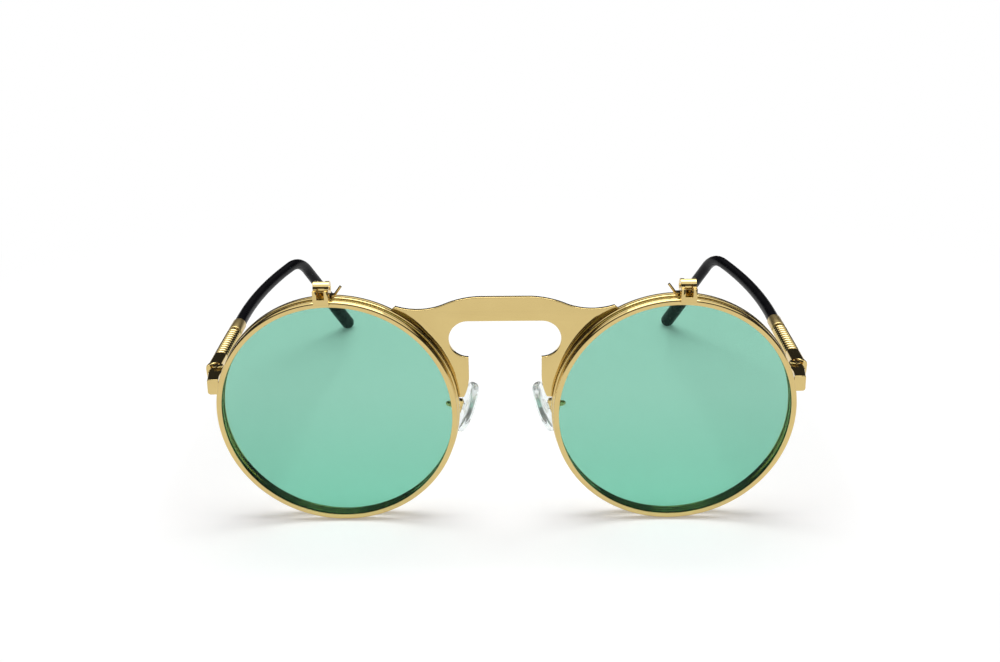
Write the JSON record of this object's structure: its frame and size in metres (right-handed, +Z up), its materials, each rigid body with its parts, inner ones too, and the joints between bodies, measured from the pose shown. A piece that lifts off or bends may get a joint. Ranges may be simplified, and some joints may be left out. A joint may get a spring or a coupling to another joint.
{
  "type": "flip up sunglasses",
  "caption": "Round wire-frame glasses with tinted lenses that flip up on top hinges, a flat keyhole bridge plate, folding temples with coil springs, and clear nose pads.",
  "frame": {"origin": "on the table, under the middle of the bounding box", "axes": "+X to the wearer's left temple as seen from the front on the right of the picture, -Y out of the lenses' front, +Z up"},
  "size_m": [0.1408, 0.1261, 0.0573],
  "materials": {
    "gold_plate": "polished pale gold plating over nickel silver",
    "green_lens": "clear green tinted optical plastic, polished",
    "clear_lens": "clear optical plastic, polished",
    "black_sleeve": "polished black acetate",
    "silicone": "clear silicone",
    "core_steel": "drawn wire"
  },
  "bodies": {
    "front": {"bridge_plate": "gold_plate", "rim_left": "gold_plate", "rim_right": "gold_plate", "clear_lens_left": "clear_lens", "clear_lens_right": "clear_lens", "end_piece_left": "gold_plate", "end_piece_right": "gold_plate", "hinge_screw_left": "gold_plate", "hinge_screw_right": "gold_plate", "rim_lock_left": "gold_plate", "rim_lock_right": "gold_plate", "rim_lock_screw_left": "gold_plate", "rim_lock_screw_right": "gold_plate", "pad_arm_left": "gold_plate", "pad_arm_right": "gold_plate", "pad_cup_left": "gold_plate", "pad_cup_right": "gold_plate", "pad_screw_left": "gold_plate", "pad_screw_right": "gold_plate", "flip_hinge_base_left": "gold_plate", "flip_hinge_base_right": "gold_plate", "flip_hinge_pin_left": "gold_plate", "flip_hinge_pin_right": "gold_plate"},
    "flip_left": {"flip_rim_left": "gold_plate", "flip_lens_left": "green_lens", "flip_hinge_bracket_left": "gold_plate"},
    "temple_left": {"temple_block_left": "gold_plate", "temple_core_left": "core_steel", "temple_spring_left": "gold_plate", "temple_ferrule_left": "gold_plate", "temple_sleeve_left": "black_sleeve"},
    "pad_left": {"nose_pad_left": "silicone"},
    "flip_right": {"flip_rim_right": "gold_plate", "flip_lens_right": "green_lens", "flip_hinge_bracket_right": "gold_plate"},
    "temple_right": {"temple_block_right": "gold_plate", "temple_core_right": "core_steel", "temple_spring_right": "gold_plate", "temple_ferrule_right": "gold_plate", "temple_sleeve_right": "black_sleeve"},
    "pad_right": {"nose_pad_right": "silicone"}
  },
  "joints": [
    {"name": "flip_up_left", "type": "hinge", "parent": "front", "child": "flip_left", "pos_m": [-0.0383, -0.06052, 0.0558], "axis": [-1, 0, 0], "range_deg": [0, 90]},
    {"name": "temple_fold_left", "type": "hinge", "parent": "front", "child": "temple_left", "pos_m": [-0.0651, -0.05302, 0.0328], "axis": [0, 0, -1], "range_deg": [0, 81]},
    {"name": "pad_rock_left", "type": "hinge", "parent": "front", "child": "pad_left", "pos_m": [-0.0108, -0.05272, 0.0245], "axis": [-0.2079, 0.9781, 0], "range_deg": [-8, 8]},
    {"name": "flip_up_right", "type": "hinge", "parent": "front", "child": "flip_right", "pos_m": [0.0383, -0.06052, 0.0558], "axis": [-1, 0, 0], "range_deg": [0, 90]},
    {"name": "temple_fold_right", "type": "hinge", "parent": "front", "child": "temple_right", "pos_m": [0.0651, -0.05302, 0.0328], "axis": [0, 0, 1], "range_deg": [0, 86]},
    {"name": "pad_rock_right", "type": "hinge", "parent": "front", "child": "pad_right", "pos_m": [0.0108, -0.05272, 0.0245], "axis": [0.2079, 0.9781, 0], "range_deg": [-8, 8]}
  ]
}
